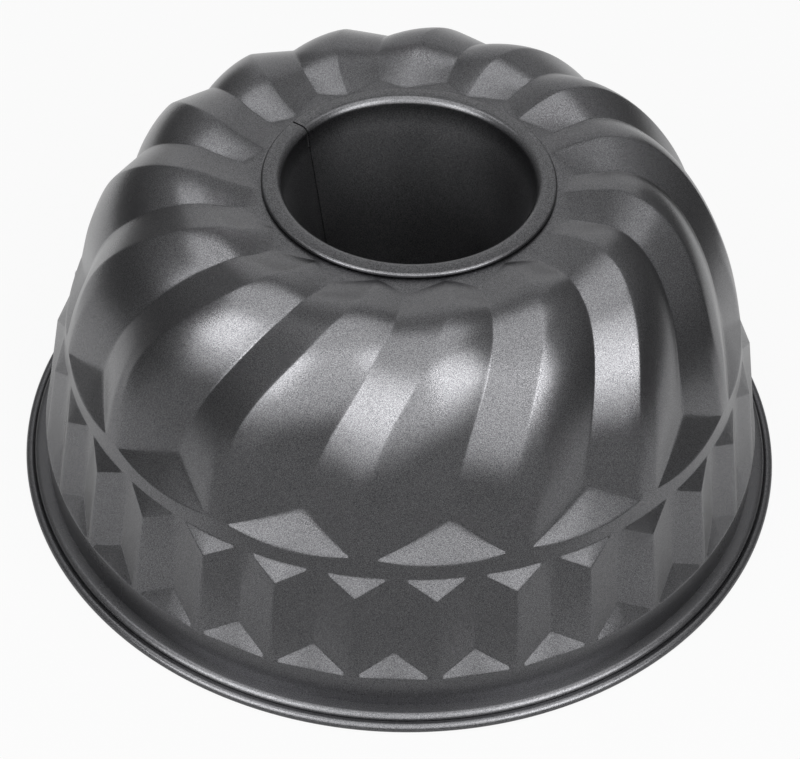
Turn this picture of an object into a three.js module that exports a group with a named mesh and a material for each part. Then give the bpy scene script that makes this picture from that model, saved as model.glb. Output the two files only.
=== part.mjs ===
import * as THREE from 'three';

// Kugelhopf mould standing on its rim, mouth down.
// Millimetres, +Z up, table at z = 0, front towards -Y.
// Angles are degrees from the front, turning towards +X.

// Steel
const SHEET = 0.45; // thickness of the shell and of the tube strip
const CLEARANCE = 0.1; // air between layers that are pressed together
const WIRE_RADIUS = 1.05; // wire inside the rolled rim

// Rolled rim, flange and the plain wall under the faceted band, from the outside in
const RIM_RADIUS = 125; // outermost edge
const FLANGE_HEIGHT = 5.3; // flange top above the table
const FLANGE_CORNER = 2; // rounding from flange to skirt
const FOOT_SETBACK = 5.05; // from the skirt in to the foot of the faceted band
const FOOT_RISE = 10.7; // from the flange up to the foot of the faceted band
const FOOT_LEAN = 0.4; // how far the plain wall leans out down to the flange

// Band of upright facets, folded into ridges and valleys
const FACET_RIDGES = 30;
const FACET_ANGLE = 6.25; // first ridge
const BAND_HEIGHT = 34.5;
const BAND_DRAFT = 9.3; // how far the band leans in over its height
const BAND_TOP_REACH = 4.6; // triangles that close the ridges at the top
const BAND_TOP_DROP = 5;
const BAND_TOP_LANDING = 3.8; // width of a valley between two of these triangles
const BAND_FOOT_REACH = 4.7; // triangles that close the valleys at the foot
const BAND_FOOT_RISE = 7.2;
const BAND_FOOT_LANDING = 2; // width of a ridge between two of these triangles

// Plain land between the band and the dome
const LAND_HEIGHT = 6.35;
const LAND_DRAFT = 1.1;

// Fluted dome
const FLUTES = 15;
const DOME_HEIGHT = 55.75; // from the land up to the crests
const DOME_BELOW = 59.9; // the dome's curve is centred this far below the land
const DOME_SIDE_POWER = 2.08; // fullness of the curve outwards
const DOME_TOP_POWER = 2.25; // fullness of the curve upwards
const CREST_RISE = 5.4; // crests above the flat ring of sheet round the tube
const CREST_RUN = 18.4; // from the tip of a ridge out to its crest
const TIP_MARGIN = 2; // from the tube's ring out to the tips of the ridges
const TIP_STAGGER = 6.5; // the valleys start this much further out
const CREST_EASE = 1.6; // how soon a ridge rises from its tip: 1 is a straight ramp
const FLUTE_DEPTH = 3.9; // greatest depth of a valley, square to the dome
const FLUTE_RUN = 1.78; // length of the depth's half wave, in lengths of a ridge
const FLUTE_LEAD = 0.23; // the half wave starts this far before the tip, in the same measure
const FLUTE_FOOT_DEPTH = 1.05; // a valley is this much deeper at its foot
const FLUTE_FOOT_RUN = 0.45; // share of the ridge over which it gets deeper
const FLANK_CROWN = 1.6; // power by which the rounded flank of a ridge falls to the valley: 1 is flat
const FLANK_BREAK = 0.35; // share of that flank at which its crown is widest
const RIDGE_ANGLE = -4.4; // first ridge, where it meets the land
const RIDGE_SWIRL = 18.2; // turn of a ridge from the land to its tip
const RIDGE_SWIRL_RUN = 0.77; // share of the ridge over which it turns
const VALLEY_LAG = 1; // a valley's foot lies this far past the middle between two ridges
const VALLEY_SWIRL = 15.4;
const VALLEY_SWIRL_RUN = 0.9;
const FLUTE_FOOT_RISE = 9.8; // triangles that close the valleys above the land
const FLUTE_BASE_SAG = 1.9; // how far the base of such a triangle dips into the land
const LANDING_RIGHT = 2.5; // width of a ridge between two of these triangles, on either side of its crest
const LANDING_LEFT = 4.4;
const LANDING_RUN = 0.4; // share of the ridge over which it widens to that

// Centre tube, rolled from a strip and lapped at a seam
const TUBE_TOP_RADIUS = 38.6; // inner face where the wall meets the bend
const TUBE_NECK_RADIUS = 36.3; // inner face below the flared top
const TUBE_MOUTH_RADIUS = 20.5; // inner face at the lower end
const TUBE_FLARE = 6; // height of the flared top
const TUBE_FOOT = 4; // lower end above the table
const TUBE_BEND = 1.3; // rounding from the wall to the flat ring
const SEAM_WIDTH = 2.95; // hold of the folded seam between tube and shell
const LAYERS_ON_DECK = 3; // hook, lip and flange lie on the flat ring of the shell
const HEM_HEIGHT = 4; // folded lower edge
const LAP_ANGLE = -123.5; // visible edge of the lap
const LAP_WIDTH = 7; // overlap of the strip's two ends
const LAP_JOGGLE = 5; // length over which the strip steps out to its tucked end
const LAP_MARGIN = 5; // the lap starts this far above the hem
const LAP_SLIT = 0.3; // gap between the two ends where they don't overlap

// Fineness of the facets
const RIM_COLUMNS = 72;
const TUBE_COLUMNS = 48;
const DOME_ROWS = 12;
const FLUTE_COLUMNS = 4; // ridge, crown, valley and landing
const TRIANGLE_BASE_STEPS = 4;
const CORNER_STEPS = 3;
const BEND_STEPS = 4;
const FOLD_STEPS = 4;
const WIRE_SIDES = 8;
const PROFILE_SAMPLES = 200;
const ARC_SAMPLES = 800;
const FLAT_PULL = 0.001; // holds a point of a flat stretch on its normal when the sheet gets its thickness

const rad = THREE.MathUtils.degToRad;
const deg = THREE.MathUtils.radToDeg;
const lerp = THREE.MathUtils.lerp;
const ease = (x) => THREE.MathUtils.smoothstep(x, 0, 1);

// Heights, from the table up
const wireZ = SHEET + CLEARANCE + WIRE_RADIUS;
const footZ = FLANGE_HEIGHT + FOOT_RISE;
const landLowZ = footZ + BAND_HEIGHT;
const landHighZ = landLowZ + LAND_HEIGHT;
const crestZ = landHighZ + DOME_HEIGHT;
const deckZ = crestZ - CREST_RISE;
const ringTopZ = deckZ + LAYERS_ON_DECK * (SHEET + CLEARANCE);

// Radii, from the rim in
const wireR = RIM_RADIUS - SHEET - CLEARANCE - WIRE_RADIUS;
const skirtR = wireR - WIRE_RADIUS - CLEARANCE;
const footR = skirtR - FOOT_SETBACK;
const landLowR = footR - BAND_DRAFT;
const landHighR = landLowR - LAND_DRAFT;

// Radii, from the tube out
const foldInner = SHEET / 2 + CLEARANCE;
const foldOuter = foldInner + SHEET;
const bendR = TUBE_TOP_RADIUS + TUBE_BEND;
const lipFoldR = bendR + CLEARANCE + foldOuter;
const hookFoldR = lipFoldR + SEAM_WIDTH;
const ringR = hookFoldR + foldOuter;
const deckR = ringR + TIP_MARGIN / 2;
const tipR = ringR + TIP_MARGIN;
const crestR = tipR + CREST_RUN;

const polar = (radius, angle, z) =>
  new THREE.Vector3(radius * Math.sin(rad(angle)), -radius * Math.cos(rad(angle)), z);

// Adds the outer product of a vector with itself
function addSquare(matrix, { x, y, z }, weight) {
  const square = [x * x, x * y, x * z, x * y, y * y, y * z, x * z, y * z, z * z];
  square.forEach((value, i) => {
    matrix.elements[i] += weight * value;
  });
}

// One face of a sheet: points and triangles, seen from outside with the angle growing to the right
class Face {
  points = [];
  triangles = [];

  on(radius, angle, z) {
    this.points.push(polar(radius, angle, z));
    return { index: this.points.length - 1, angle };
  }

  circle(profilePoint, angles) {
    return angles.map((angle) => this.on(profilePoint.x, angle, profilePoint.y));
  }

  triangle(a, b, c) {
    this.triangles.push([a.index, b.index, c.index]);
  }

  fan(...corners) {
    for (let i = 1; i + 1 < corners.length; i++) {
      this.triangle(corners[0], corners[i], corners[i + 1]);
    }
  }

  // Closed strip between two rings with the same number of points
  strip(upper, lower) {
    upper.forEach((start, i) => {
      const next = (i + 1) % upper.length;
      this.fan(start, lower[i], lower[next], upper[next]);
    });
  }

  // Closed strip between two rings with different points, stepped by their angles
  zip(upper, lower) {
    const away = (point) => Math.abs(point.angle - upper[0].angle);
    const first = lower.reduce((best, point, i) => (away(point) < away(lower[best]) ? i : best), 0);
    const at = (ring, i) => ring[i % ring.length];
    const angleAt = (ring, i) => at(ring, i).angle + 360 * Math.floor(i / ring.length);
    let i = 0;
    let j = 0;
    while (i < upper.length || j < lower.length) {
      const upperStep = i < upper.length ? angleAt(upper, i + 1) : Infinity;
      const lowerStep = j < lower.length ? angleAt(lower, first + j + 1) : Infinity;
      const start = at(upper, i);
      const foot = at(lower, first + j);
      if (upperStep < lowerStep) {
        this.triangle(start, foot, at(upper, i + 1));
        i += 1;
      } else {
        this.triangle(start, foot, at(lower, first + j + 1));
        j += 1;
      }
    }
  }

  // Closed sheet behind this face: a point moves until every plane that meets there lies a thickness back
  thicken(thickness) {
    const normals = this.points.map(() => new THREE.Vector3());
    const pulls = this.points.map(() => new THREE.Matrix3().multiplyScalar(FLAT_PULL));
    this.triangles.forEach((triangle) => {
      const corners = triangle.map((index) => this.points[index]);
      const normal = new THREE.Triangle(...corners).getNormal(new THREE.Vector3());
      triangle.forEach((index, k) => {
        const before = corners[(k + 2) % 3].clone().sub(corners[k]);
        const after = corners[(k + 1) % 3].clone().sub(corners[k]);
        const weight = after.angleTo(before);
        normals[index].addScaledVector(normal, weight);
        addSquare(pulls[index], normal, weight);
      });
    });
    const behind = this.points.map((point, index) => {
      const sum = normals[index];
      const shift = sum.clone().addScaledVector(sum.clone().normalize(), FLAT_PULL);
      return point.clone().addScaledVector(shift.applyMatrix3(pulls[index].invert()), -thickness);
    });
    const count = this.points.length;
    const edges = new Set();
    const sides = ([a, b, c]) => [[a, b], [b, c], [c, a]];
    this.triangles.forEach((triangle) => sides(triangle).forEach((side) => edges.add(side.join())));
    const index = [];
    this.triangles.forEach(([a, b, c]) => {
      index.push(a, b, c, a + count, c + count, b + count);
      sides([a, b, c]).forEach(([from, to]) => {
        if (!edges.has([to, from].join())) {
          index.push(to, from, from + count, to, from + count, to + count);
        }
      });
    });
    const geometry = new THREE.BufferGeometry();
    geometry.setFromPoints([...this.points, ...behind]);
    geometry.setIndex(index);
    geometry.computeVertexNormals();
    return geometry;
  }
}

const evenAngles = (count) => Array.from({ length: count }, (_, i) => (360 * i) / count);
const pitchAngles = (count, start) => Array.from({ length: count }, (_, i) => start + (360 * i) / count);
const onArc = (centre, radius, angle) =>
  new THREE.Vector2(centre.x + radius * Math.cos(rad(angle)), centre.y + radius * Math.sin(rad(angle)));

const arcAlong = (centre, radius, from, to, steps) =>
  Array.from({ length: steps + 1 }, (_, i) => onArc(centre, radius, lerp(from, to, i / steps)));

// Points of an arc whose chords lie outside the circle, so that they clear what is inside
function arcRound(centre, radius, from, to, steps) {
  const half = (to - from) / steps / 2;
  const corner = radius / Math.cos(rad(half));
  const middles = Array.from({ length: steps }, (_, i) => onArc(centre, corner, from + half * (2 * i + 1)));
  return [onArc(centre, radius, from), ...middles, onArc(centre, radius, to)];
}

// Profile of a flute ridge: a rise from the tip to the crest, then the curve of the dome down to the land
function ridgeCurve() {
  const centreZ = landHighZ - DOME_BELOW;
  const semiHeight = crestZ - centreZ;
  const landTurn = Math.acos((DOME_BELOW / semiHeight) ** (DOME_TOP_POWER / 2));
  const reach = (landHighR - crestR) / Math.sin(landTurn) ** (2 / DOME_SIDE_POWER);
  const points = [];
  for (let i = 0; i < PROFILE_SAMPLES; i++) {
    const share = i / PROFILE_SAMPLES;
    const rise = 1 - (1 - share) ** CREST_EASE;
    points.push(new THREE.Vector2(lerp(tipR, crestR, share), lerp(deckZ, crestZ, rise)));
  }
  for (let i = 0; i <= PROFILE_SAMPLES; i++) {
    const turn = (landTurn * i) / PROFILE_SAMPLES;
    const r = crestR + reach * Math.sin(turn) ** (2 / DOME_SIDE_POWER);
    const z = centreZ + semiHeight * Math.cos(turn) ** (2 / DOME_TOP_POWER);
    points.push(new THREE.Vector2(r, z));
  }
  return new THREE.SplineCurve(points);
}

// Share of a ridge's length at which a test on its points first holds
function firstShare(test) {
  let share = 0;
  while (share < 1 && !test(share)) share += 1 / PROFILE_SAMPLES;
  return share;
}

function buildShell() {
  const face = new Face();

  // Lip: the sheet's inner edge, folded up and back over the hook of the tube
  const lipAngles = evenAngles(TUBE_COLUMNS);
  const lipCentre = new THREE.Vector2(lipFoldR, deckZ + foldInner);
  const lipProfile = [
    new THREE.Vector2(hookFoldR - CLEARANCE, deckZ + 2 * foldInner),
    ...arcRound(lipCentre, foldInner, 90, 270, FOLD_STEPS),
    new THREE.Vector2(deckR, deckZ),
  ];
  const lipRings = lipProfile.map((point) => face.circle(point, lipAngles));
  lipRings.slice(1).forEach((ring, i) => face.strip(lipRings[i], ring));

  // Fluted dome: rows of ridge, landing edge, valley, landing edge
  const ridge = ridgeCurve();
  ridge.arcLengthDivisions = ARC_SAMPLES;
  const valleyPoint = (share) => {
    const point = ridge.getPointAt(share);
    const along = ridge.getTangentAt(share);
    const wave = FLUTE_DEPTH * Math.sin((Math.PI * (share + FLUTE_LEAD)) / FLUTE_RUN);
    const depth = wave + FLUTE_FOOT_DEPTH * ease((share - 1 + FLUTE_FOOT_RUN) / FLUTE_FOOT_RUN);
    return new THREE.Vector2(point.x + depth * along.y, point.y - depth * along.x);
  };
  const flutePitch = 360 / FLUTES;
  const valleyLead = flutePitch / 2 + VALLEY_LAG;
  const valleyStart = firstShare((share) => ridge.getPointAt(share).x >= tipR + TIP_STAGGER);
  const valleyEnd = firstShare((share) => {
    const past = ridge.getPointAt(share).x > crestR;
    return past && valleyPoint(share).y <= landHighZ + FLUTE_FOOT_RISE;
  });
  const rightLanding = deg(LANDING_RIGHT / landHighR) / valleyLead;
  const leftLanding = deg(LANDING_LEFT / landHighR) / (flutePitch - valleyLead);
  const starts = pitchAngles(FLUTES, RIDGE_ANGLE);

  const domeRow = (row) => {
    const share = row / DOME_ROWS;
    const valleyShare = lerp(valleyStart, valleyEnd, share);
    const crest = ridge.getPointAt(share);
    const hollow = valleyPoint(valleyShare);
    if (row === 0) hollow.y = deckZ;
    const crestTurn = RIDGE_SWIRL * (1 - ease(share / RIDGE_SWIRL_RUN));
    const hollowTurn = valleyLead + VALLEY_SWIRL * (1 - ease(valleyShare / VALLEY_SWIRL_RUN));
    const spread = ease((share - 1 + LANDING_RUN) / LANDING_RUN);
    const between = (start, side, part, fall) => {
      const angle = start + lerp(side + crestTurn, hollowTurn, part);
      const depth = fall * (1 - spread);
      return face.on(lerp(crest.x, hollow.x, depth), angle, lerp(crest.y, hollow.y, depth));
    };
    const crown = lerp(FLANK_BREAK, rightLanding, spread);
    return starts.flatMap((start) => [
      face.on(crest.x, start + crestTurn, crest.y),
      between(start, 0, crown, crown ** FLANK_CROWN),
      face.on(hollow.x, start + hollowTurn, hollow.y),
      between(start, flutePitch, leftLanding, leftLanding),
    ]);
  };
  const domeRows = Array.from({ length: DOME_ROWS + 1 }, (_, row) => domeRow(row));
  face.zip(lipRings.at(-1), domeRows[0]);
  domeRows.slice(1).forEach((row, i) => face.strip(domeRows[i], row));

  // Triangles that close the valleys, each with its base on the edge of the land
  const landHigh = starts.flatMap((_, k) => {
    const first = FLUTE_COLUMNS * k;
    const [foot, right, valley, left] = domeRows[DOME_ROWS].slice(first, first + FLUTE_COLUMNS);
    const base = [right];
    for (let i = 1; i < TRIANGLE_BASE_STEPS; i++) {
      const share = i / TRIANGLE_BASE_STEPS;
      const sag = FLUTE_BASE_SAG * 4 * share * (1 - share);
      const radius = landHighR + (LAND_DRAFT * sag) / LAND_HEIGHT;
      base.push(face.on(radius, lerp(right.angle, left.angle, share), landHighZ - sag));
    }
    base.push(left);
    face.fan(valley, ...base);
    return [foot, ...base];
  });

  // Faceted band: each ridge has a triangle on top, each valley a triangle at its foot
  const bandPitch = 360 / FACET_RIDGES;
  const topCorner = bandPitch / 2 - deg(BAND_TOP_LANDING / 2 / landLowR);
  const footCorner = deg(BAND_FOOT_LANDING / 2 / footR);
  const facets = pitchAngles(FACET_RIDGES, FACET_ANGLE).map((angle) => ({
    topLeft: face.on(landLowR, angle - topCorner, landLowZ),
    topMiddle: face.on(landLowR, angle, landLowZ),
    topRight: face.on(landLowR, angle + topCorner, landLowZ),
    valleyTop: face.on(landLowR, angle + bandPitch / 2, landLowZ),
    ridgeTop: face.on(landLowR + BAND_TOP_REACH, angle, landLowZ - BAND_TOP_DROP),
    valleyFoot: face.on(footR - BAND_FOOT_REACH, angle + bandPitch / 2, footZ + BAND_FOOT_RISE),
    footLeft: face.on(footR, angle - footCorner, footZ),
    ridgeFoot: face.on(footR, angle, footZ),
    footRight: face.on(footR, angle + footCorner, footZ),
    footMiddle: face.on(footR, angle + bandPitch / 2, footZ),
  }));
  facets.forEach((facet, k) => {
    const before = facets.at(k - 1);
    const after = facets[(k + 1) % FACET_RIDGES];
    const { topLeft, topMiddle, topRight, valleyTop, ridgeTop } = facet;
    const { valleyFoot, footLeft, ridgeFoot, footRight, footMiddle } = facet;
    face.fan(ridgeTop, topRight, topMiddle, topLeft);
    face.fan(topRight, ridgeTop, ridgeFoot, footRight, valleyFoot, valleyTop);
    face.fan(topLeft, before.valleyTop, before.valleyFoot, footLeft, ridgeFoot, ridgeTop);
    face.fan(valleyFoot, footRight, footMiddle, after.footLeft);
  });
  const landLow = facets.flatMap((facet) => [facet.topLeft, facet.topMiddle, facet.topRight, facet.valleyTop]);
  face.zip(landHigh, landLow);

  // Plain wall, flange, skirt and the edge rolled outwards round the wire
  const cornerCentre = new THREE.Vector2(skirtR - FLANGE_CORNER, FLANGE_HEIGHT - FLANGE_CORNER);
  const wireCentre = new THREE.Vector2(wireR, wireZ);
  const side = 360 / WIRE_SIDES;
  const curlInner = WIRE_RADIUS + CLEARANCE;
  const curlOuter = curlInner + SHEET;
  const curlEnd = deg(Math.acos(-(curlInner - CLEARANCE) / curlOuter));
  const curl = [];
  for (let angle = 180 + side / 2; angle < 360 + curlEnd; angle += side) {
    curl.push(onArc(wireCentre, curlInner / Math.cos(rad(side / 2)), angle));
  }
  const lastFlat = 360 + side * Math.round(curlEnd / side);
  curl.push(onArc(wireCentre, curlInner / Math.cos(rad(360 + curlEnd - lastFlat)), curlEnd));
  const rimProfile = [
    new THREE.Vector2(footR + FOOT_LEAN, FLANGE_HEIGHT),
    ...arcAlong(cornerCentre, FLANGE_CORNER, 90, 0, CORNER_STEPS),
    ...curl,
  ];
  const rimAngles = evenAngles(RIM_COLUMNS);
  const rimRings = rimProfile.map((point) => face.circle(point, rimAngles));
  face.zip(
    facets.flatMap((facet) => [facet.footLeft, facet.ridgeFoot, facet.footRight, facet.footMiddle]),
    rimRings[0],
  );
  rimRings.slice(1).forEach((ring, i) => face.strip(rimRings[i], ring));
  return face.thicken(SHEET);
}

// Strip rolled into a tapered tube, hemmed below, flanged and hooked over the shell's lip above
function buildTube() {
  const face = new Face();
  const bendZ = ringTopZ - TUBE_BEND;
  const hemZ = TUBE_FOOT + foldOuter;
  const hemTop = hemZ + HEM_HEIGHT;
  const neckZ = bendZ - TUBE_FLARE;
  const wallAt = (z) => {
    const radius = lerp(TUBE_MOUTH_RADIUS, TUBE_NECK_RADIUS, (z - hemZ) / (neckZ - hemZ));
    return new THREE.Vector2(radius, z);
  };
  const lapRows = [wallAt(hemTop + LAP_MARGIN), wallAt(neckZ)];
  const hemCentre = new THREE.Vector2(TUBE_MOUTH_RADIUS + foldOuter, hemZ);
  const bendCentre = new THREE.Vector2(bendR, bendZ);
  const hookCentre = new THREE.Vector2(hookFoldR, ringTopZ - foldOuter);
  const profile = [
    new THREE.Vector2(wallAt(hemTop).x + 2 * foldOuter, hemTop),
    ...arcAlong(hemCentre, foldOuter, 0, -180, FOLD_STEPS),
    wallAt(hemTop),
    ...lapRows,
    ...arcAlong(bendCentre, TUBE_BEND, 180, 90, BEND_STEPS),
    ...arcAlong(hookCentre, foldOuter, 90, -90, FOLD_STEPS),
    new THREE.Vector2(lipFoldR + CLEARANCE, ringTopZ - 2 * foldOuter),
  ];

  // Columns from the tucked end, out to the joggle and round to the visible edge of the lap
  const lap = deg(LAP_WIDTH / TUBE_NECK_RADIUS);
  const joggle = deg(LAP_JOGGLE / TUBE_NECK_RADIUS);
  const slit = deg(LAP_SLIT / TUBE_MOUTH_RADIUS);
  const turn = 360 - lap - joggle;
  const round = Array.from({ length: TUBE_COLUMNS + 1 }, (_, i) => joggle + (turn * i) / TUBE_COLUMNS);
  const columns = [-lap, 0, ...round, 360 - slit];
  const rows = profile.map((point) => {
    const lapped = lapRows.includes(point);
    return columns.map((angle) => {
      if (angle < 0 && !lapped) return null;
      const step = angle <= 0 && lapped ? SHEET + CLEARANCE : 0;
      return face.on(point.x + step, LAP_ANGLE + angle, point.y);
    });
  });
  rows.slice(1).forEach((lower, row) => {
    lower.slice(1).forEach((corner, column) => {
      const upper = rows[row];
      const cell = [upper[column], lower[column], corner, upper[column + 1]];
      if (!cell.includes(null)) face.fan(...cell);
    });
  });
  return face.thicken(SHEET);
}

// Ring of wire that the rim is rolled round
function buildWire() {
  const side = 360 / WIRE_SIDES;
  const corner = WIRE_RADIUS / Math.cos(rad(side / 2));
  const centre = new THREE.Vector2(wireR, wireZ);
  const section = arcAlong(centre, corner, side / 2, side / 2 + 360, WIRE_SIDES);
  section[WIRE_SIDES].copy(section[0]);
  return new THREE.LatheGeometry(section, RIM_COLUMNS).rotateX(Math.PI / 2);
}

const steel = (color) => new THREE.MeshStandardMaterial({ color, roughness: 0.5, metalness: 0.6 });

function node(name, geometry, material) {
  const mesh = new THREE.Mesh(geometry, material);
  mesh.name = name;
  return mesh;
}

const group = new THREE.Group();
group.add(node('fluted_shell', buildShell(), steel(0x5a5b5e)));
group.add(node('centre_tube', buildTube(), steel(0x4c4d50)));
group.add(node('rim_wire', buildWire(), steel(0x8a8b8d)));

export default group;
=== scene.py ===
import math

import bpy
import numpy as np
from mathutils import Matrix, Vector


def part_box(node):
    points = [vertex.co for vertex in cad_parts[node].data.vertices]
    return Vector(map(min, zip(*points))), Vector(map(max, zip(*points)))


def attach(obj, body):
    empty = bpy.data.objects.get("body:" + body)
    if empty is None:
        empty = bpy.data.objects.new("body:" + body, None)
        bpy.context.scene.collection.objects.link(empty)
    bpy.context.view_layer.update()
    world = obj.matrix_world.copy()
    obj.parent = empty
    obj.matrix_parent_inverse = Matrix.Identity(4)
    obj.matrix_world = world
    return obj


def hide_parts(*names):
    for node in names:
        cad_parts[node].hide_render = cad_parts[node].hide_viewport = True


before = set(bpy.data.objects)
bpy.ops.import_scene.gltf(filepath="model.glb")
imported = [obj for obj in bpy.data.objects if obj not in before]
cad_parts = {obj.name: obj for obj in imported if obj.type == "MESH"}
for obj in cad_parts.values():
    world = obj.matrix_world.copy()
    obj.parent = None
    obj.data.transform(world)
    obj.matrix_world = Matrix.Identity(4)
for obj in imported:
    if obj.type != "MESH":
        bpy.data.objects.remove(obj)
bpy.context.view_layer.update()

# Lengths are millimetres, and angles are degrees from the front, turning towards +X.
# Meshes and places are turned into metres where Blender takes them.
MM = 0.001

# Sizes that the frame gives
_, shell_high = (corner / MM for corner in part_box("fluted_shell"))
tube_low, tube_high = (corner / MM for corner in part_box("centre_tube"))
wire_low, wire_high = (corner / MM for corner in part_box("rim_wire"))
RIM_RADIUS = shell_high.x
RING_TOP = tube_high.z
TUBE_FOOT = tube_low.z
WIRE_RADIUS = (wire_high.z - wire_low.z) / 2
WIRE_HEIGHT = (wire_high.z + wire_low.z) / 2
LAYER = wire_low.z  # sheet and the air beside it

# Sheet steel
CLEARANCE = 0.1
SHEET = LAYER - CLEARANCE

# Rim, flange and the plain wall under the band
FLANGE_HEIGHT = 4.4
FLANGE_CORNER = 2
FOOT_SETBACK = 5.05
FOOT_RISE = 11.6
FOOT_LEAN = 0.4

# Band of upright facets
FACET_RIDGES = 30
FACET_ANGLE = 6.25
BAND_HEIGHT = 34.5
BAND_DRAFT = 9.3
BAND_TOP_REACH = 3.95
BAND_TOP_DROP = 5.7
BAND_TOP_LANDING = 3.8
BAND_FOOT_REACH = 4.7
BAND_FOOT_RISE = 7.2
BAND_FOOT_LANDING = 2

# Plain land
LAND_HEIGHT = 6.35
LAND_DRAFT = 1.1

# Fluted dome
FLUTES = 15
DOME_HEIGHT = 55.75
DOME_BELOW = 59.9
DOME_SIDE_POWER = 2.08
DOME_TOP_POWER = 2.25
CREST_RISE = 5.4
CREST_RUN = 19.2
CREST_EASE_IN = 0.03
CREST_EASE_OUT = 0.25
TIP_MARGIN = 1.2
TIP_STAGGER = 4.4
VALLEY_EASE = 9
FLUTE_DEPTH = 3.9
FLUTE_RUN = 1.78
FLUTE_LEAD = 0.23
FLUTE_FOOT_DEPTH = 1.05
FLUTE_FOOT_RUN = 0.45
FLANK_CROWN = 1.6
RIDGE_ANGLE = -4.4
RIDGE_SWIRL = 18.2
RIDGE_SWIRL_RUN = 0.77
VALLEY_LAG = 1
VALLEY_SWIRL = 15.4
VALLEY_SWIRL_RUN = 0.9
FLUTE_FOOT_RISE = 9.8
FLUTE_BASE_SAG = 1.9
LANDING_RIGHT = 2.5
LANDING_LEFT = 4.4
LANDING_RUN = 0.4

# Centre tube
TUBE_TOP_RADIUS = 38.6
TUBE_NECK_RADIUS = 37.4
TUBE_MOUTH_RADIUS = 20.5
TUBE_FLARE = 6
TUBE_BEND = 1.3  # that the folds of the seam are placed by
ROUND_BEND = 2.4  # that shows
HEM_HEIGHT = 4
LAP_ANGLE = -123.5
LAP_WIDTH = 7
LAP_JOGGLE = 5
LAP_MARGIN = 5
LAP_SLIT = 0.3

# Fineness of the meshes
FLANK_COLUMNS = 24  # from a ridge of the dome to a valley
FLANK_WIDTH = 16  # of a flank half way up
RIDGE_LENGTH = 115
FLUTE_CORNER_COLUMN = 8  # landing corner, counted from the ridge
FACET_COLUMNS = 12  # from a ridge of the band to a valley
FACET_TOP_COLUMN = 8  # corner of the top triangle, counted from the ridge
FACET_FOOT_COLUMN = 3  # corner of the foot triangle, counted from the ridge
DOME_ROWS = 64
TRIANGLE_ROWS = 8
LAND_ROWS = 8
BAND_ROWS = 12
EDGE_STEPS = (0.16, 0.4, 0.9)  # narrow steps beside a crease
SOFT_EDGE_STEPS = (0.45, 1, 1.7)  # beside a soft one
DECK_ROWS = 3
WALL_ROWS = 8
CORNER_STEPS = 6
CURL_STEPS = 20
FOLD_STEPS = 8
BEND_STEPS = 8
FLARE_STEPS = 8
LAP_ROWS = 12
LAP_COLUMNS = 4
TUBE_COLUMNS = 192
PROFILE_SAMPLES = 400

# Rounding of the pressed edges, as squared widths
SOFT_STEP = 0.03
SOFT_STEPS = 24
TIP_RUN = 0.12  # share of a ridge over which the softness of its tip goes over
FOOT_RUN = 0.2  # share of a ridge over which it gets as soft as the triangles
RIDGE_SPREAD = 1.4  # how fast the softness goes from the valleys to the ridges
SOFT_LIMIT = 0.4  # of the way to the neighbours' mean in a step
SOFT_RIDGE = 0.4
SOFT_VALLEY = 0.15
SOFT_TIP = 0.15
SOFT_TRIANGLE = 1.5
SOFT_BAND = 0.15
LEAST_EDGE = 0.3
SHARP_ANGLE = 50  # a fold tighter than this is not rounded

# Coating, with heights in metres over the table
SATIN_ROUGHNESS = 0.285
WALL_ROUGHNESS = 0.46
WALL_TOP = 0.1
RING_LOW = 0.106
SHELL_DARK = (0.052, 0.052, 0.056)
SHELL_LIGHT = (0.18, 0.18, 0.186)
TUBE_DARK = (0.045, 0.045, 0.048)
TUBE_LIGHT = (0.175, 0.175, 0.181)
FLAKE_SCALE = 4800
FLAKE_RANGE = (0.34, 0.66)  # of the noise, from the dark tint to the light one
FLAKE_BUMP = 0.12
FLAKE_HEIGHT = 0.0001  # metres
BLOTCH_SCALE = 40
BLOTCH_RANGE = (0.3, 0.7)  # of the noise
BLOTCH_GAIN = (0.93, 1.07)  # of the roughness

# Wire in the rim
WIRE_TINT = (0.45, 0.45, 0.46)
WIRE_SCALE = 900
WIRE_ROUGHNESS = (0.25, 0.45)

# Camera of the photograph
IMAGE_WIDTH = 800
FOCAL_PIXELS = 1967.3
SENSOR = 36
CAMERA_PLACE = Vector((0, -461.8, 481.0))
CAMERA_AIM = Vector((-0.68, 0, 22.83))
CAMERA_ROLL = 1.99

# Paper that is the floor and the backdrop
PAPER_FRONT = -142
PAPER_BACK = 1000
PAPER_HEIGHT = 1080
PAPER_HALF = 420
PAPER_NARROW = 340  # half width beside the mould
PAPER_SPREAD = 700  # where it has its full width
SWEEP_RADIUS = 400
SWEEP_STEPS = 12
PAPER_GREY = 0.3
PAPER_GLOW = 0.92
# Painted shadow round the foot of the mould, in the paper's glow as metal sees it
SHADE_NEAR = 0.125  # metres from the axis
SHADE_FAR = 0.165
SHADE_LEAST = 0.2

# Table in front of the paper
TABLE_FRONT = -700
TABLE_HALF = 700
TABLE_GREY = 0.27
TABLE_SCALE = 12
TABLE_GAIN = (0.95, 1.05)

# World and lamps
WORLD_LOW = 0.2
WORLD_HIGH = 0.55
WORLD_RANGE = (0.1, 0.75)  # of the height of a direction, from low to high
LAMP_DISTANCE = 1200
LAMP_AIM = Vector((0, 0, 60))

# Azimuth, elevation, width and height as angles seen from the object, and radiance
LAMPS = {
    "top_box": (0, 84, 64, 58, 1.9),
    "front_box": (0, 33, 114, 48, 2.3),
    "left_box": (-44, 38, 28, 34, 3.6),
    "right_box": (48, 37, 32, 36, 3.9),
}

# Heights, from the table up
foot_z = FLANGE_HEIGHT + FOOT_RISE
land_low_z = foot_z + BAND_HEIGHT
land_high_z = land_low_z + LAND_HEIGHT
crest_z = land_high_z + DOME_HEIGHT
deck_z = crest_z - CREST_RISE

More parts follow.
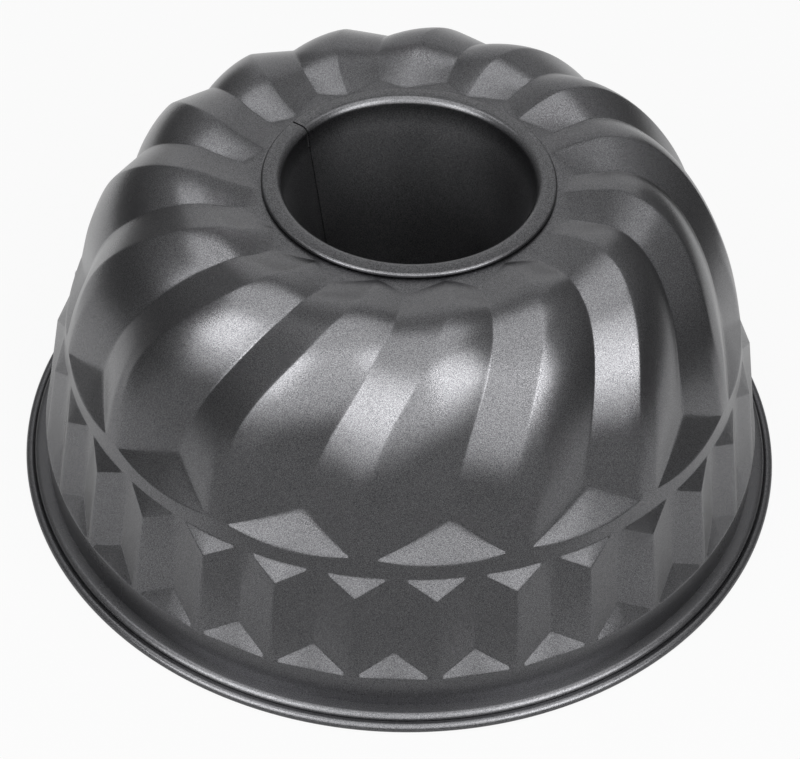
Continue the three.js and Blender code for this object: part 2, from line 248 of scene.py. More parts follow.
# Radii, from the rim in
wire_r = RIM_RADIUS - LAYER - WIRE_RADIUS
skirt_r = wire_r - WIRE_RADIUS - CLEARANCE
foot_r = skirt_r - FOOT_SETBACK
land_low_r = foot_r - BAND_DRAFT
land_high_r = land_low_r - LAND_DRAFT

# Radii, from the tube out
fold_inner = SHEET / 2 + CLEARANCE
fold_outer = fold_inner + SHEET
ring_r = tube_high.x
hook_fold_r = ring_r - fold_outer
bend_r = TUBE_TOP_RADIUS + TUBE_BEND
lip_fold_r = bend_r + CLEARANCE + fold_outer
tip_r = ring_r + TIP_MARGIN
crest_r = tip_r + CREST_RUN

COLUMNS = 2 * FLANK_COLUMNS * FLUTES
EDGE_START = [0, *(step / (BAND_FOOT_LANDING / 2) for step in EDGE_STEPS[:2])]


def mix(a, b, share):
    return a + (b - a) * share


def ease(x):
    x = np.clip(x, 0, 1)
    return x * x * (3 - 2 * x)


def places(count, length, near=True, far=True, steps=EDGE_STEPS):
    """Shares of a length in a number of steps, narrow at the ends that lie on a crease."""
    edge = np.array([0, *steps])
    head = edge if near else edge[:1]
    tail = length - (edge if far else edge[:1])[::-1]
    inner = np.linspace(head[-1], tail[0], count + 3 - len(head) - len(tail))[1:-1]
    return np.concatenate([head, inner, tail]) / length


def polar(radius, angle, z):
    radius, angle, z = np.broadcast_arrays(radius, angle, z)
    turn = np.radians(angle)
    return np.stack([radius * np.sin(turn), -radius * np.cos(turn), z], axis=-1)


def arc(centre, radius, start, end, steps):
    turn = np.radians(np.linspace(start, end, steps + 1))
    return [(centre[0] + radius * math.cos(t), centre[1] + radius * math.sin(t)) for t in turn]


class Sheet:
    """One face of a sheet as rows of points round the axis. Rows share points where a facet ends."""

    def __init__(self):
        self.points = []
        self.softness = []
        self.count = 0
        self.faces = []

    def row(self, points, softness=0.0):
        points = np.asarray(points, float)
        self.points.append(points)
        self.softness.append(np.broadcast_to(softness, len(points)).astype(float))
        first = self.count
        self.count += len(points)
        return np.arange(first, self.count)

    def partial_row(self, above, points, fresh, softness):
        """A row that has new points where fresh is true and the points of the row above elsewhere."""
        row = above.copy()
        row[fresh] = self.row(points[fresh], np.broadcast_to(softness, len(points))[fresh])
        return row

    def join(self, upper, lower, closed=True):
        reach = len(upper) if closed else len(upper) - 1
        for i in range(reach):
            k = (i + 1) % len(upper)
            corners = [upper[i], lower[i], lower[k], upper[k]]
            face = list(dict.fromkeys(int(c) for c in corners))
            if len(face) > 2:
                self.faces.append(face)

    def follow(self, upper, lower):
        """Joins a row to the one above it and returns it."""
        self.join(upper, lower)
        return lower

    def stack(self):
        return np.concatenate(self.points), np.concatenate(self.softness)


def triangles_of(faces):
    return np.array([(f[0], f[i], f[i + 1]) for f in faces for i in range(1, len(f) - 1)])


def point_normals(points, triangles):
    a, b, c = (points[triangles[:, k]] for k in range(3))
    cross = np.cross(b - a, c - a)
    normals = np.zeros_like(points)
    for k in range(3):
        for axis in range(3):
            normals[:, axis] += np.bincount(triangles[:, k], cross[:, axis], len(points))
    return normals / np.linalg.norm(normals, axis=1, keepdims=True)


def edges_of(faces):
    pairs = {tuple(sorted((f[i], f[(i + 1) % len(f)]))) for f in faces for i in range(len(f))}
    return np.array(sorted(pairs))


def soften(points, faces, softness):
    """Rounds the edges of a face: points flow along their normals until a crease has its softness."""
    edges = edges_of(faces)
    triangles = triangles_of(faces)
    first, second = edges[:, 0], edges[:, 1]
    length = np.linalg.norm(points[second] - points[first], axis=1)
    weight = 1 / np.maximum(length, LEAST_EDGE) ** 2
    total = np.bincount(first, weight, len(points)) + np.bincount(second, weight, len(points))
    share = np.minimum(softness * SOFT_STEP, SOFT_LIMIT / total)
    for _ in range(SOFT_STEPS):
        pull = weight[:, None] * (points[second] - points[first])
        flow = np.zeros_like(points)
        for axis in range(3):
            flow[:, axis] += np.bincount(first, pull[:, axis], len(points))
            flow[:, axis] -= np.bincount(second, pull[:, axis], len(points))
        normals = point_normals(points, triangles)
        height = (flow * normals).sum(axis=1) * share
        points = points + height[:, None] * normals
    return points


def sheet_mesh(name, points, faces, thickness):
    """Closed mesh of a sheet with the given thickness behind its face."""
    normals = point_normals(points, triangles_of(faces))
    count = len(points)
    sides = [(f[i], f[(i + 1) % len(f)]) for f in faces for i in range(len(f))]
    known = set(sides)
    open_sides = [(a, b) for a, b in sides if (b, a) not in known]
    behind = [[count + index for index in reversed(f)] for f in faces]
    walls = [[b, a, count + a, count + b] for a, b in open_sides]
    both = np.concatenate([points, points - thickness * normals]) * MM
    mesh = bpy.data.meshes.new(name)
    mesh.from_pydata(both.tolist(), [], faces + behind + walls)
    mesh.shade_smooth()
    mesh.set_sharp_from_angle(angle=math.radians(SHARP_ANGLE))
    piece = bpy.data.objects.new(name, mesh)
    bpy.context.scene.collection.objects.link(piece)
    return piece


def ridge_profile():
    """Shares of a flute ridge's length, with its radius and height at each."""
    centre_z = land_high_z - DOME_BELOW
    semi = crest_z - centre_z
    land_turn = math.acos((DOME_BELOW / semi) ** (DOME_TOP_POWER / 2))
    reach = (land_high_r - crest_r) / math.sin(land_turn) ** (2 / DOME_SIDE_POWER)
    share = np.linspace(0, 1, PROFILE_SAMPLES, endpoint=False)
    turn = np.linspace(0, land_turn, PROFILE_SAMPLES + 1)
    slope = np.minimum(np.minimum(share / CREST_EASE_IN, (1 - share) / CREST_EASE_OUT), 1)
    rise = np.cumsum(slope) / slope.sum()
    side_r = crest_r + reach * np.sin(turn) ** (2 / DOME_SIDE_POWER)
    side_z = centre_z + semi * np.cos(turn) ** (2 / DOME_TOP_POWER)
    r = np.concatenate([mix(tip_r, crest_r, share), side_r])
    z = np.concatenate([mix(deck_z, crest_z, rise), side_z])
    step = np.hypot(np.diff(r), np.diff(z))
    length = np.concatenate([[0], np.cumsum(step)])
    return length / length[-1], r, z


def dome_lines():
    """Radius, height and turn of the ridges and the valleys, row by row from the tips to the land."""
    share, r, z = ridge_profile()
    along_r = np.gradient(r, share)
    along_z = np.gradient(z, share)
    speed = np.hypot(along_r, along_z)
    depth = FLUTE_DEPTH * np.sin(np.pi * (share + FLUTE_LEAD) / FLUTE_RUN)
    depth += FLUTE_FOOT_DEPTH * ease((share - 1 + FLUTE_FOOT_RUN) / FLUTE_FOOT_RUN)
    low_r = r + depth * along_z / speed
    low_z = z - depth * along_r / speed
    start = share[np.argmax(r >= tip_r + TIP_STAGGER)]
    end = share[np.argmax((r > crest_r) & (low_z <= land_high_z + FLUTE_FOOT_RISE))]
    rows = places(DOME_ROWS, RIDGE_LENGTH, steps=SOFT_EDGE_STEPS)
    valley_rows = mix(start, end, rows)
    pitch = 360 / FLUTES
    crest = {
        "r": np.interp(rows, share, r),
        "z": np.interp(rows, share, z),
        "turn": RIDGE_SWIRL * (1 - ease(rows / RIDGE_SWIRL_RUN)),
    }
    hollow = {
        "r": np.interp(valley_rows, share, low_r),
        "z": np.interp(valley_rows, share, low_z),
        "turn": pitch / 2 + VALLEY_LAG + VALLEY_SWIRL * (1 - ease(valley_rows / VALLEY_SWIRL_RUN)),
    }
    step = hollow["z"][0] - deck_z
    hollow["z"] -= step * (1 - ease((hollow["r"] - hollow["r"][0]) / VALLEY_EASE))
    return rows, crest, hollow


def chord(radius, span, share):
    """Radius on the straight line between two points that lie a span of degrees apart."""
    half = math.radians(span) / 2
    return radius * math.cos(half) / np.cos(half * (2 * share - 1))


def landings():
    """Shares of the two flanks beside a ridge that it takes up where it meets the land."""
    valley = 180 / FLUTES + VALLEY_LAG
    right = math.degrees(LANDING_RIGHT / land_high_r) / valley
    left = math.degrees(LANDING_LEFT / land_high_r) / (360 / FLUTES - valley)
    return right, left


def dome_row(row_share, crest, hollow):
    """One row of the dome: from each ridge down its rounded flank and up the flat one to the next."""
    pitch = 360 / FLUTES
    right_landing, left_landing = landings()
    spread = float(ease((row_share - 1 + LANDING_RUN) / LANDING_RUN))
    column = np.arange(FLANK_COLUMNS + 1)
    on_landing = np.clip(column / FLUTE_CORNER_COLUMN, 0, 1)
    fall = np.clip((column - FLUTE_CORNER_COLUMN) / (FLANK_COLUMNS - FLUTE_CORNER_COLUMN), 0, 1)
    even = places(FLANK_COLUMNS, FLANK_WIDTH)
    right_part = mix(even, mix(right_landing * on_landing, 1, fall), spread)
    left_part = mix(even, mix(left_landing * on_landing, 1, fall), spread)
    right_fall = mix(right_part**FLANK_CROWN, fall, spread)
    left_fall = mix(left_part, fall, spread)
    right_span = hollow["turn"] - crest["turn"]
    left_span = pitch + crest["turn"] - hollow["turn"]
    right_r = mix(crest["r"], hollow["r"], right_fall)
    right_r = mix(right_r, chord(right_r, right_span * (1 - right_landing), fall), spread)
    left_r = mix(crest["r"], hollow["r"], left_fall)
    left_r = chord(left_r, left_span * mix(1, 1 - left_landing, spread), left_fall)
    right_angle = crest["turn"] + right_span * right_part
    left_angle = pitch + crest["turn"] - left_span * left_part
    right = (right_r, right_angle, mix(crest["z"], hollow["z"], right_fall))
    left = (left_r, left_angle, mix(crest["z"], hollow["z"], left_fall))
    r, angle, z = (np.concatenate([a[:-1], b[:0:-1]]) for a, b in zip(right, left))
    starts = RIDGE_ANGLE + pitch * np.arange(FLUTES)
    return polar(np.tile(r, FLUTES), (starts[:, None] + angle).ravel(), np.tile(z, FLUTES))


def angle_of(points):
    return np.degrees(np.arctan2(points[:, 0], -points[:, 1]))


def circle_rows(sheet, profile, angles, softness=0.0):
    return [sheet.row(polar(r, angles, z), softness) for r, z in profile]


def join_all(sheet, rows):
    for upper, lower in zip(rows, rows[1:]):
        sheet.join(upper, lower)


def build_shell():
    sheet = Sheet()
    rows, crest, hollow = dome_lines()
    pitch = 360 / FLUTES
    right_landing, left_landing = landings()

    # Dome, softest on the ridges
    flank = np.arange(FLANK_COLUMNS + 1) / FLANK_COLUMNS
    ridge_like = np.concatenate([1 - flank[:-1], 1 - flank[:0:-1]])
    ridge_like = ease(0.5 + RIDGE_SPREAD * (ridge_like - 0.5))
    soft = np.tile(mix(SOFT_VALLEY, SOFT_RIDGE, ridge_like), FLUTES)
    dome = []
    for k, row_share in enumerate(rows):
        crest_k = {key: value[k] for key, value in crest.items()}
        hollow_k = {key: value[k] for key, value in hollow.items()}
        row_soft = mix(soft, SOFT_TRIANGLE, float(ease((row_share - 1 + FOOT_RUN) / FOOT_RUN)))
        row_soft = mix(SOFT_TIP, row_soft, float(ease(row_share / TIP_RUN)))
        dome.append(sheet.row(dome_row(float(row_share), crest_k, hollow_k), row_soft))
    tip_angles = np.unwrap(angle_of(sheet.points[0]), period=360)

    # Lip, folded up and back over the hook of the tube, and the flat ring of sheet round it
    lip_centre = (lip_fold_r, deck_z + fold_inner)
    deck_r = np.linspace(lip_fold_r, tip_r - TIP_MARGIN / 2, DECK_ROWS + 1)[1:]
    lip_profile = [
        (hook_fold_r - CLEARANCE, deck_z + 2 * fold_inner),
        *arc(lip_centre, fold_inner, 90, 270, FOLD_STEPS),
        *((r, deck_z) for r in deck_r),
    ]
    lip = circle_rows(sheet, lip_profile, tip_angles)
    join_all(sheet, lip + dome)

    # Triangles that close the valleys
    in_flute = np.arange(COLUMNS) % (2 * FLANK_COLUMNS)
    from_ridge = np.minimum(in_flute, 2 * FLANK_COLUMNS - in_flute)
    fresh = from_ridge > FLUTE_CORNER_COLUMN
    edge_points = sheet.points[DOME_ROWS]
    corner_share = (in_flute - FLUTE_CORNER_COLUMN) / (2 * (FLANK_COLUMNS - FLUTE_CORNER_COLUMN))
    right_corner = RIDGE_ANGLE + right_landing * (hollow["turn"][-1] - crest["turn"][-1])
    left_corner = RIDGE_ANGLE + pitch - left_landing * (pitch + crest["turn"][-1] - hollow["turn"][-1])
    flute_angle = pitch * (np.arange(COLUMNS) // (2 * FLANK_COLUMNS))
    base_angle = mix(right_corner, left_corner, corner_share) + flute_angle
    sag = np.where(fresh, FLUTE_BASE_SAG * 4 * corner_share * (1 - corner_share), 0)
    base_r = land_high_r + LAND_DRAFT * sag / LAND_HEIGHT
    base_z = land_high_z - sag
    base = polar(base_r, base_angle, base_z)
    last = dome[-1]
    for share in places(TRIANGLE_ROWS, FLUTE_FOOT_RISE, steps=SOFT_EDGE_STEPS)[1:]:
        softness = mix(SOFT_TRIANGLE, SOFT_BAND, share)
        points = mix(edge_points, base, share)
        last = sheet.follow(last, sheet.partial_row(last, points, fresh, softness))
    land_high_angles = np.where(fresh, base_angle, angle_near(edge_points, base_angle))

    # Land, from the columns of the dome to those of the band
    band = band_columns()
    shift = np.argmin(np.abs(band["top_angle"][0] - land_high_angles))
    band_angles = np.roll(band["top_angle"], shift)
    band_angles[:shift] -= 360
    for share in places(LAND_ROWS, LAND_HEIGHT)[1:]:
        angles = mix(land_high_angles, band_angles, share)
        points = polar(mix(base_r, land_low_r, share), angles, mix(base_z, land_low_z, share))
        last = sheet.follow(last, sheet.row(points, SOFT_BAND))
    last = np.roll(last, -shift)
    last = build_band(sheet, band, last)

    # Plain wall, flange, skirt and the edge rolled outwards round the wire
    rim = circle_rows(sheet, rim_profile(), band["foot_angle"])
    join_all(sheet, [last] + rim)

    points, softness = sheet.stack()
    points = soften(points, sheet.faces, softness)
    return sheet_mesh("pressed_shell", points, sheet.faces, SHEET)


def angle_near(points, guess):
    """Angles of points, on the turn nearest to a guess."""
    angle = angle_of(points)
    return angle + 360 * np.round((guess - angle) / 360)


def band_columns():
    """Angles and points of the band's columns, with its triangles on top and at the foot."""
    pitch = 360 / FACET_RIDGES
    top_corner = pitch / 2 - math.degrees(BAND_TOP_LANDING / 2 / land_low_r)
    foot_corner = math.degrees(BAND_FOOT_LANDING / 2 / foot_r)
    column = np.arange(2 * FACET_COLUMNS)
    from_ridge = np.minimum(column, 2 * FACET_COLUMNS - column)
    side = np.where(column <= FACET_COLUMNS, 1, -1)
    width = math.radians(pitch / 2) * land_low_r
    half_landing = BAND_TOP_LANDING / 2
    along_top = places(FACET_TOP_COLUMN, width - half_landing, far=False)
    along_landing = places(FACET_COLUMNS - FACET_TOP_COLUMN, half_landing, near=False)
    along_foot = places(FACET_COLUMNS - FACET_FOOT_COLUMN, width - BAND_FOOT_LANDING / 2, far=False)
    on_top = np.concatenate([along_top, np.ones(FACET_COLUMNS - FACET_TOP_COLUMN)])[from_ridge]
    past_top = np.concatenate([np.zeros(FACET_TOP_COLUMN), along_landing])[from_ridge]
    on_foot = np.concatenate([EDGE_START, np.ones(FACET_COLUMNS + 1 - len(EDGE_START))])[from_ridge]
    to_valley = np.concatenate([along_foot, np.ones(FACET_FOOT_COLUMN)])[FACET_COLUMNS - from_ridge]
    top = top_corner * on_top + (pitch / 2 - top_corner) * past_top
    foot = foot_corner * on_foot + (pitch / 2 - foot_corner) * (1 - to_valley)
    start = FACET_ANGLE + pitch * np.arange(FACET_RIDGES)
    centre = np.where(side > 0, 0, pitch)
    ridge_top = polar(land_low_r + BAND_TOP_REACH, start[:, None] + centre, land_low_z - BAND_TOP_DROP)
    top_edge = polar(land_low_r, start[:, None] + centre + side * top_corner, land_low_z)
    valley_foot = polar(foot_r - BAND_FOOT_REACH, start[:, None] + pitch / 2, foot_z + BAND_FOOT_RISE)
    foot_edge = polar(foot_r, start[:, None] + centre + side * foot_corner, foot_z)
    top_line = mix(ridge_top, top_edge, on_top[None, :, None])
    foot_line = mix(valley_foot, foot_edge, to_valley[None, :, None])
    top_angle = (start[:, None] + centre + side * top).ravel()
    foot_angle = (start[:, None] + centre + side * foot).ravel()
    top_circle = polar(land_low_r, top_angle, land_low_z)
    foot_circle = polar(foot_r, foot_angle, foot_z)
    in_top = np.tile(from_ridge < FACET_TOP_COLUMN, FACET_RIDGES)
    in_foot = np.tile(from_ridge > FACET_FOOT_COLUMN, FACET_RIDGES)
    return {
        "top_angle": top_angle,
        "foot_angle": foot_angle,
        "top_circle": top_circle,
        "top_line": np.where(in_top[:, None], top_line.reshape(-1, 3), top_circle),
        "foot_line": np.where(in_foot[:, None], foot_line.reshape(-1, 3), foot_circle),
        "foot_circle": foot_circle,
        "in_top": in_top,
        "in_foot": in_foot,
    }


def build_band(sheet, band, last):
    """Faceted band from the land down to its foot. Returns the foot row."""
    for share in places(TRIANGLE_ROWS, BAND_TOP_DROP)[1:]:
        points = mix(band["top_circle"], band["top_line"], share)
        last = sheet.follow(last, sheet.partial_row(last, points, band["in_top"], SOFT_BAND))
    for share in places(BAND_ROWS, BAND_HEIGHT)[1:]:
        points = mix(band["top_line"], band["foot_line"], share)
        last = sheet.follow(last, sheet.row(points, SOFT_BAND))
    for share in places(TRIANGLE_ROWS, BAND_FOOT_RISE)[1:]:
        points = mix(band["foot_line"], band["foot_circle"], share)
        last = sheet.follow(last, sheet.partial_row(last, points, band["in_foot"], SOFT_BAND))
    return last


def rim_profile():
    """Radius and height down the plain wall, over the flange and its corner, and round the wire."""
    down = places(WALL_ROWS, FOOT_RISE)[1:]
    wall = [(mix(foot_r, foot_r + FOOT_LEAN, s), mix(foot_z, FLANGE_HEIGHT, s)) for s in down]
    corner_centre = (skirt_r - FLANGE_CORNER, FLANGE_HEIGHT - FLANGE_CORNER)
    corner = arc(corner_centre, FLANGE_CORNER, 90, 0, CORNER_STEPS)
    curl_inner = WIRE_RADIUS + CLEARANCE
    curl_outer = curl_inner + SHEET
    curl_end = math.degrees(math.acos(-(curl_inner - CLEARANCE) / curl_outer))
    curl = arc((wire_r, WIRE_HEIGHT), curl_inner, 180, 360 + curl_end, CURL_STEPS)
    return wall + corner + curl


def build_tube():
    """Tube from its hem up to the hook of the seam. Columns below zero are tucked behind the lap."""
    sheet = Sheet()
    bend_z = RING_TOP - TUBE_BEND
    hem_z = TUBE_FOOT + fold_outer
    hem_top = hem_z + HEM_HEIGHT
    neck_z = bend_z - TUBE_FLARE

    def wall(z):
        return mix(TUBE_MOUTH_RADIUS, TUBE_NECK_RADIUS, (z - hem_z) / (neck_z - hem_z)), z

    lap_low = hem_top + LAP_MARGIN
    lap_rows = [wall(z) for z in np.linspace(lap_low, neck_z, LAP_ROWS)]
    lean = math.degrees(math.atan((TUBE_TOP_RADIUS - TUBE_NECK_RADIUS) / TUBE_FLARE))
    round_r = bend_r + (ROUND_BEND - TUBE_BEND) * math.sqrt(0.5)
    bend = arc((round_r, RING_TOP - ROUND_BEND), ROUND_BEND, 180 - lean, 90, BEND_STEPS)
    climb = places(FLARE_STEPS, TUBE_FLARE)[1:-1]
    flare = [(mix(TUBE_NECK_RADIUS, bend[0][0], s), mix(neck_z, bend[0][1], s)) for s in climb]
    profile = [
        (wall(hem_top)[0] + 2 * fold_outer, hem_top),
        *arc((TUBE_MOUTH_RADIUS + fold_outer, hem_z), fold_outer, 0, -180, FOLD_STEPS),
        wall(hem_top),
        *lap_rows,
        *flare,
        *bend,
        *arc((hook_fold_r, RING_TOP - fold_outer), fold_outer, 90, -90, FOLD_STEPS),
        (lip_fold_r + CLEARANCE, RING_TOP - 2 * fold_outer),
    ]
    lap = math.degrees(LAP_WIDTH / TUBE_NECK_RADIUS)
    joggle = math.degrees(LAP_JOGGLE / TUBE_NECK_RADIUS)
    slit = math.degrees(LAP_SLIT / TUBE_MOUTH_RADIUS)
    tucked = np.linspace(-lap, 0, LAP_COLUMNS + 1)
    round_angles = np.linspace(0, 360 - slit, TUBE_COLUMNS + 1)
    columns = np.concatenate([tucked[:-1], round_angles])
    step = LAYER * (1 - ease(columns / joggle))
    sunk = {point: 1.0 for point in lap_rows}
    sunk.update({point: 1 - s for point, s in zip(flare, climb)})
    rows = []
    for r, z in profile:
        shown = columns >= (-lap if (r, z) in lap_rows else 0)
        radius = r + step[shown] * sunk.get((r, z), 0)
        row = np.full(len(columns), -1)
        row[shown] = sheet.row(polar(radius, LAP_ANGLE + columns[shown], z))
        rows.append(row)
    for upper, lower in zip(rows, rows[1:]):
        both = (upper >= 0) & (lower >= 0)
        sheet.join(upper[both], lower[both], closed=False)
    points, _ = sheet.stack()
    return sheet_mesh("centre_tube_sheet", points, sheet.faces, SHEET)


def new_material(name):
    material = bpy.data.materials.new(name)
    material.use_nodes = True
    tree = material.node_tree
    tree.nodes.clear()
    return material, tree


def add(tree, kind, **inputs):
    node = tree.nodes.new(kind)
    for key, value in inputs.items():
        node.inputs[key.replace("_", " ")].default_value = value
    return node


def span(tree, value, source, target):
    """A value carried from one range of numbers to another."""
    node = add(tree, "ShaderNodeMapRange", From_Min=source[0], From_Max=source[1])
    node.inputs["To Min"].default_value = target[0]
    node.inputs["To Max"].default_value = target[1]
    tree.links.new(value, node.inputs["Value"])
    return node.outputs["Result"]


def combine(tree, operation, first, second):
    node = add(tree, "ShaderNodeMath")
    node.operation = operation
    tree.links.new(first, node.inputs[0])
    tree.links.new(second, node.inputs[1])
    return node.outputs["Value"]


def show(tree, surface):
    out = add(tree, "ShaderNodeOutputMaterial")
    tree.links.new(surface, out.inputs["Surface"])


def coated_steel(name, dark, light, low_roughness):
    """Satin dark grey coating with a fine metallic flake. Its roughness may differ below the ring."""
    material, tree = new_material(name)
    link = tree.links.new
    place = add(tree, "ShaderNodeTexCoord")
    flake = add(tree, "ShaderNodeTexNoise", Scale=FLAKE_SCALE, Detail=1)
    cloud = add(tree, "ShaderNodeTexNoise", Scale=BLOTCH_SCALE, Detail=3)
    height = add(tree, "ShaderNodeSeparateXYZ")
    for node in (flake, cloud, height):
        link(place.outputs["Object"], node.inputs["Vector"])
    tint = add(tree, "ShaderNodeValToRGB")
    for stop, position, colour in zip(tint.color_ramp.elements, FLAKE_RANGE, (dark, light)):
        stop.position = position
        stop.color = (*colour, 1)
    link(flake.outputs["Fac"], tint.inputs["Fac"])
    satin = span(tree, height.outputs["Z"], (WALL_TOP, RING_LOW), (low_roughness, SATIN_ROUGHNESS))
    blotch = span(tree, cloud.outputs["Fac"], BLOTCH_RANGE, BLOTCH_GAIN)
    bump = add(tree, "ShaderNodeBump", Strength=FLAKE_BUMP, Distance=FLAKE_HEIGHT)
    link(flake.outputs["Fac"], bump.inputs["Height"])
    shader = add(tree, "ShaderNodeBsdfPrincipled", Metallic=1)
    link(tint.outputs["Color"], shader.inputs["Base Color"])
    link(combine(tree, "MULTIPLY", satin, blotch), shader.inputs["Roughness"])
    link(bump.outputs["Normal"], shader.inputs["Normal"])
    show(tree, shader.outputs["BSDF"])
    return material


def wire_steel():
    """Drawn steel wire, faintly uneven."""
    material, tree = new_material("wire_steel")
    link = tree.links.new
    place = add(tree, "ShaderNodeTexCoord")
    uneven = add(tree, "ShaderNodeTexNoise", Scale=WIRE_SCALE, Detail=2)
    link(place.outputs["Object"], uneven.inputs["Vector"])
    shader = add(tree, "ShaderNodeBsdfPrincipled", Base_Color=(*WIRE_TINT, 1), Metallic=1)
    link(span(tree, uneven.outputs["Fac"], (0, 1), WIRE_ROUGHNESS), shader.inputs["Roughness"])
    show(tree, shader.outputs["BSDF"])
    return material


def dress(piece, material, node):
    piece.data.materials.append(material)
    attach(piece, "root")
    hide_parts(node)


def pale_paper():
    """Matte paper that looks near white. Metal sees a painted shadow in its glow at the foot of the
    mould.
    """
    material, tree = new_material("pale_paper")
    link = tree.links.new
    path = add(tree, "ShaderNodeLightPath")
    place = add(tree, "ShaderNodeTexCoord")
    away = add(tree, "ShaderNodeVectorMath")
    away.operation = "LENGTH"
    link(place.outputs["Object"], away.inputs[0])
    # Painted shadow: the glow that glossy rays see falls to SHADE_LEAST near the foot of the mould
    shade = span(tree, away.outputs["Value"], (SHADE_NEAR, SHADE_FAR), (SHADE_LEAST, 1))
    mirrored = combine(tree, "MULTIPLY", path.outputs["Is Glossy Ray"], shade)
    seen = combine(tree, "MAXIMUM", path.outputs["Is Camera Ray"], mirrored)
    seen = combine(tree, "MAXIMUM", seen, path.outputs["Is Transmission Ray"])
    amount = add(tree, "ShaderNodeMath")
    amount.operation = "MULTIPLY"
    amount.inputs[1].default_value = PAPER_GLOW
    link(seen, amount.inputs[0])
    matte = add(tree, "ShaderNodeBsdfDiffuse", Color=(PAPER_GREY, PAPER_GREY, PAPER_GREY, 1))
    glow = add(tree, "ShaderNodeEmission", Color=(1, 1, 1, 1), Strength=1)
    blend = add(tree, "ShaderNodeMixShader")
    link(amount.outputs["Value"], blend.inputs["Fac"])
    link(matte.outputs["BSDF"], blend.inputs[1])
    link(glow.outputs["Emission"], blend.inputs[2])
    show(tree, blend.outputs["Shader"])
    return material


def lay_flat(name, points, faces, material):
    mesh = bpy.data.meshes.new(name)
    mesh.from_pydata(points, [], faces)
    mesh.shade_smooth()
    mesh.materials.append(material)
    flat = bpy.data.objects.new(name, mesh)
    bpy.context.scene.collection.objects.link(flat)


def grey_table():
    """Matte table top with a faint grain, that the paper lies on."""
    material, tree = new_material("grey_table")
    link = tree.links.new
    place = add(tree, "ShaderNodeTexCoord")
    cloud = add(tree, "ShaderNodeTexNoise", Scale=TABLE_SCALE, Detail=3)
    link(place.outputs["Object"], cloud.inputs["Vector"])
    tint = add(tree, "ShaderNodeValToRGB")
    for stop, gain in zip(tint.color_ramp.elements, TABLE_GAIN):
        stop.color = (TABLE_GREY * gain, TABLE_GREY * gain, TABLE_GREY * gain, 1)
    link(cloud.outputs["Fac"], tint.inputs["Fac"])
    matte = add(tree, "ShaderNodeBsdfDiffuse")
    link(tint.outputs["Color"], matte.inputs["Color"])
    show(tree, matte.outputs["BSDF"])
    return material


def lay_table():
    """Table in front of the paper, outside the picture, for the facets to reflect."""
    low, high = TABLE_FRONT * MM, PAPER_FRONT * MM
    wide = TABLE_HALF * MM
    points = [(-wide, low, 0), (wide, low, 0), (wide, high, 0), (-wide, high, 0)]
    lay_flat("table", points, [(0, 1, 2, 3)], grey_table())


def lay_paper():
    """Floor that is narrower beside the mould and sweeps up into a backdrop behind it."""
    sweep = arc((PAPER_BACK - SWEEP_RADIUS, SWEEP_RADIUS), SWEEP_RADIUS, -90, 0, SWEEP_STEPS)
    floor = np.linspace(PAPER_FRONT, PAPER_BACK - SWEEP_RADIUS, SWEEP_STEPS)[:-1]
    profile = [*((y, 0) for y in floor), *sweep, (PAPER_BACK, PAPER_HEIGHT)]
    half = {y: mix(PAPER_NARROW, PAPER_HALF, ease(y / PAPER_SPREAD)) * MM for y, _ in profile}
    points = [(side * half[y], y * MM, z * MM) for y, z in profile for side in (-1, 1)]
    faces = [(2 * k, 2 * k + 1, 2 * k + 3, 2 * k + 2) for k in range(len(profile) - 1)]
    lay_flat("paper", points, faces, pale_paper())


def place_camera():
    data = bpy.data.cameras.new("camera")
    data.sensor_width = SENSOR
    data.lens = FOCAL_PIXELS / IMAGE_WIDTH * SENSOR
    camera = bpy.data.objects.new("camera", data)
    bpy.context.scene.collection.objects.link(camera)
    look = (CAMERA_AIM - CAMERA_PLACE).to_track_quat("-Z", "Y").to_matrix().to_4x4()
    roll = Matrix.Rotation(math.radians(CAMERA_ROLL), 4, "Z")
    camera.matrix_world = Matrix.Translation(CAMERA_PLACE * MM) @ look @ roll
    bpy.context.scene.camera = camera


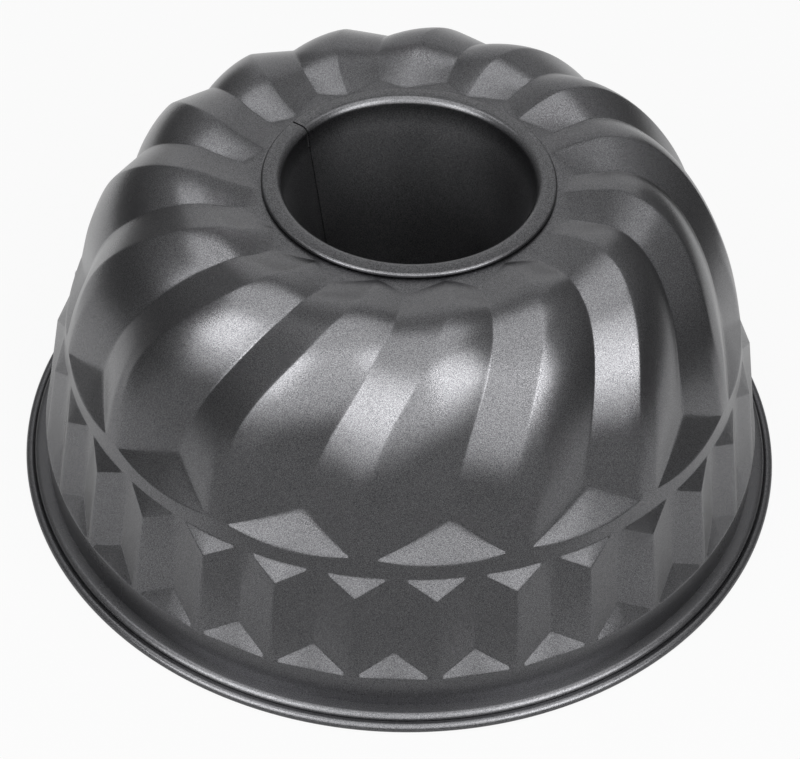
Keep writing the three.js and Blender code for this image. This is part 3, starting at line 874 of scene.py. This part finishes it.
def soft_box(name, azimuth, elevation, wide, tall, radiance):
    """Rectangular lamp that faces the object and covers the given angles of its view."""
    width = 2 * LAMP_DISTANCE * math.tan(math.radians(wide) / 2)
    height = 2 * LAMP_DISTANCE * math.tan(math.radians(tall) / 2)
    data = bpy.data.lights.new(name, "AREA")
    data.shape = "RECTANGLE"
    data.size = width * MM
    data.size_y = height * MM
    data.energy = math.pi * data.size * data.size_y * radiance
    lamp = bpy.data.objects.new(name, data)
    bpy.context.scene.collection.objects.link(lamp)
    lamp.visible_camera = False
    rise = math.radians(elevation)
    turn = math.radians(azimuth)
    level = math.cos(rise)
    towards = Vector((level * math.sin(turn), -level * math.cos(turn), math.sin(rise)))
    look = (-towards).to_track_quat("-Z", "Y").to_matrix().to_4x4()
    lamp.matrix_world = Matrix.Translation((LAMP_AIM + LAMP_DISTANCE * towards) * MM) @ look


def light_studio():
    world = bpy.data.worlds.new("studio")
    world.use_nodes = True
    tree = world.node_tree
    tree.nodes.clear()
    link = tree.links.new
    place = add(tree, "ShaderNodeTexCoord")
    height = add(tree, "ShaderNodeSeparateXYZ")
    link(place.outputs["Generated"], height.inputs["Vector"])
    strength = span(tree, height.outputs["Z"], WORLD_RANGE, (WORLD_LOW, WORLD_HIGH))
    grey = add(tree, "ShaderNodeBackground", Color=(1, 1, 1, 1))
    link(strength, grey.inputs["Strength"])
    out = add(tree, "ShaderNodeOutputWorld")
    link(grey.outputs["Background"], out.inputs["Surface"])
    bpy.context.scene.world = world
    for name, lamp in LAMPS.items():
        soft_box(name, *lamp)


shell = build_shell()
tube = build_tube()
coating = coated_steel("coated_steel", SHELL_DARK, SHELL_LIGHT, SATIN_ROUGHNESS)
tube_coating = coated_steel("coated_tube", TUBE_DARK, TUBE_LIGHT, WALL_ROUGHNESS)
dress(shell, coating, "fluted_shell")
dress(tube, tube_coating, "centre_tube")
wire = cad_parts["rim_wire"]
wire.data.materials.clear()
wire.data.materials.append(wire_steel())

lay_paper()
lay_table()
place_camera()
light_studio()
bpy.context.scene.view_settings.view_transform = "Standard"
